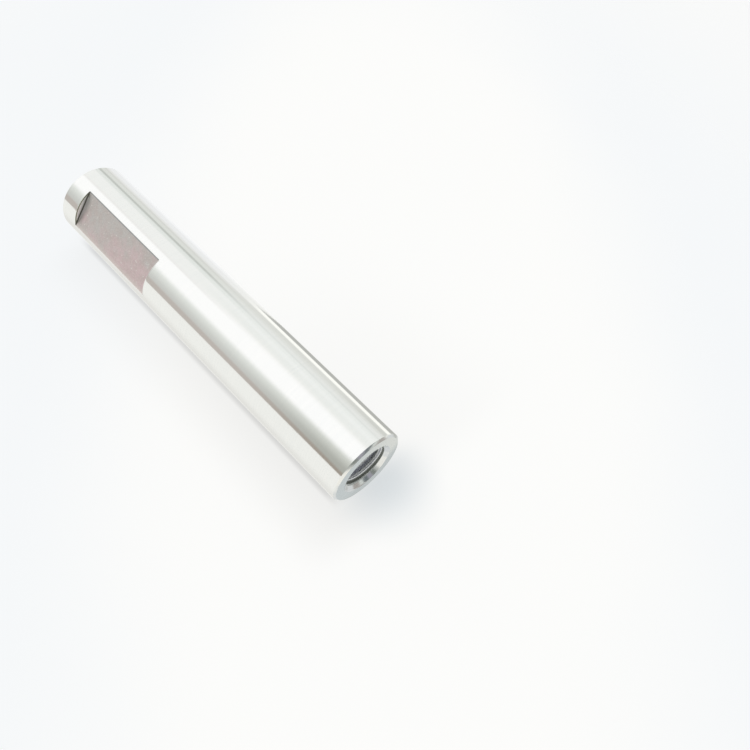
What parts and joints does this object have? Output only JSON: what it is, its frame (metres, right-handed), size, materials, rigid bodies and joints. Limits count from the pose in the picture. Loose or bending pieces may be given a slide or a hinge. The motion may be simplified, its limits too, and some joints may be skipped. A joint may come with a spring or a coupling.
{
  "type": "shaft",
  "caption": "Round ground shaft with wrench flats near its plain end and a countersunk tapped hole in the opposite end.",
  "frame": {"origin": "centre of the plain end's face, on which the shaft stands", "axes": "+Z along the shaft's axis towards the tapped end, +Y square to the wrench flats"},
  "size_m": [0.02, 0.02, 0.11],
  "materials": {
    "ground_steel": "ground bright, with milled flats and turned ends"
  },
  "bodies": {
    "root": {"shaft": "ground_steel"}
  },
  "joints": []
}
